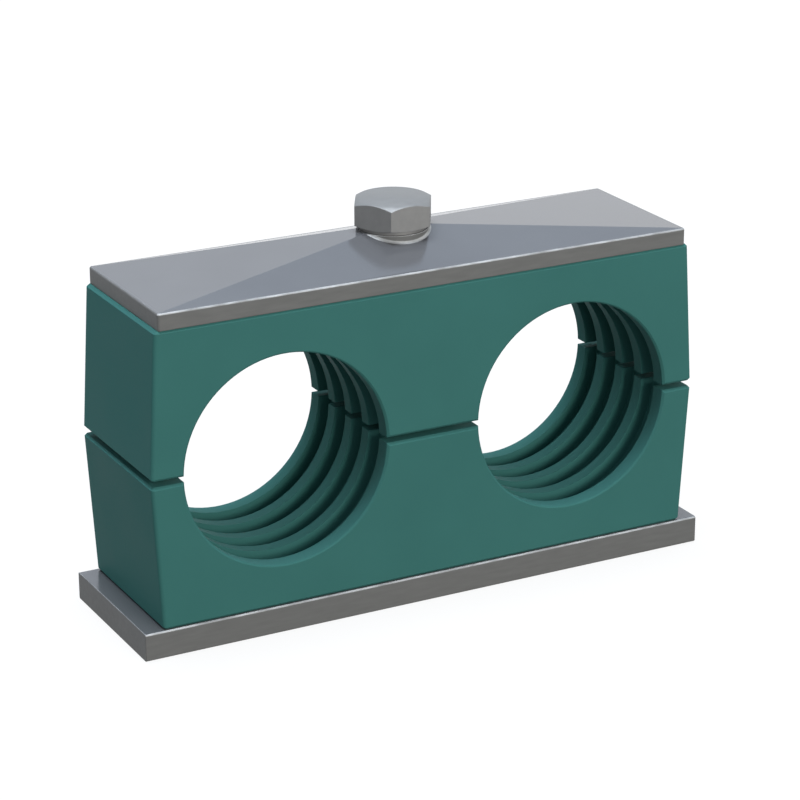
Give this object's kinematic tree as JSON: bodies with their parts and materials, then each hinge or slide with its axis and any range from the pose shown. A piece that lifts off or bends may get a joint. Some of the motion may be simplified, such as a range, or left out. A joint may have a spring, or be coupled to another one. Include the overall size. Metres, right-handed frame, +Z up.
{
  "type": "hydraulic tube clamp",
  "caption": "Twin hydraulic tube clamp: two ribbed plastic halves hold two tubes side by side between a weld plate and a cover plate, drawn together by one hexagon bolt.",
  "frame": {"origin": "middle of the weld plate's underside, on the bolt's axis", "axes": "+Z up along the bolt, X across the two tubes, Y along the tubes"},
  "size_m": [0.11, 0.03, 0.0701],
  "materials": {
    "clamp_plastic": "moulded polypropylene, slight sheen",
    "plate_steel": "plain steel, smooth",
    "bolt_steel": "zinc-plated steel, satin"
  },
  "bodies": {
    "base": {"weld_plate": "plate_steel", "threaded_bush": "plate_steel", "lower_clamp_half": "clamp_plastic"},
    "jaw": {"upper_clamp_half": "clamp_plastic", "cover_plate": "plate_steel"},
    "bolt": {"hex_bolt": "bolt_steel"}
  },
  "joints": [
    {"name": "jaw_lift", "type": "slide", "parent": "base", "child": "jaw", "axis": [0, 0, 1], "range_m": [0, 0.00875]},
    {"name": "bolt_turn", "type": "hinge", "parent": "jaw", "child": "bolt", "pos_m": [0, 0, 0.065], "axis": [0, 0, 1], "range_deg": [0, 2520]}
  ],
  "couplings": [
    {"joint": "bolt_turn", "follows": "jaw_lift", "rad_per_m": 5026.5}
  ]
}
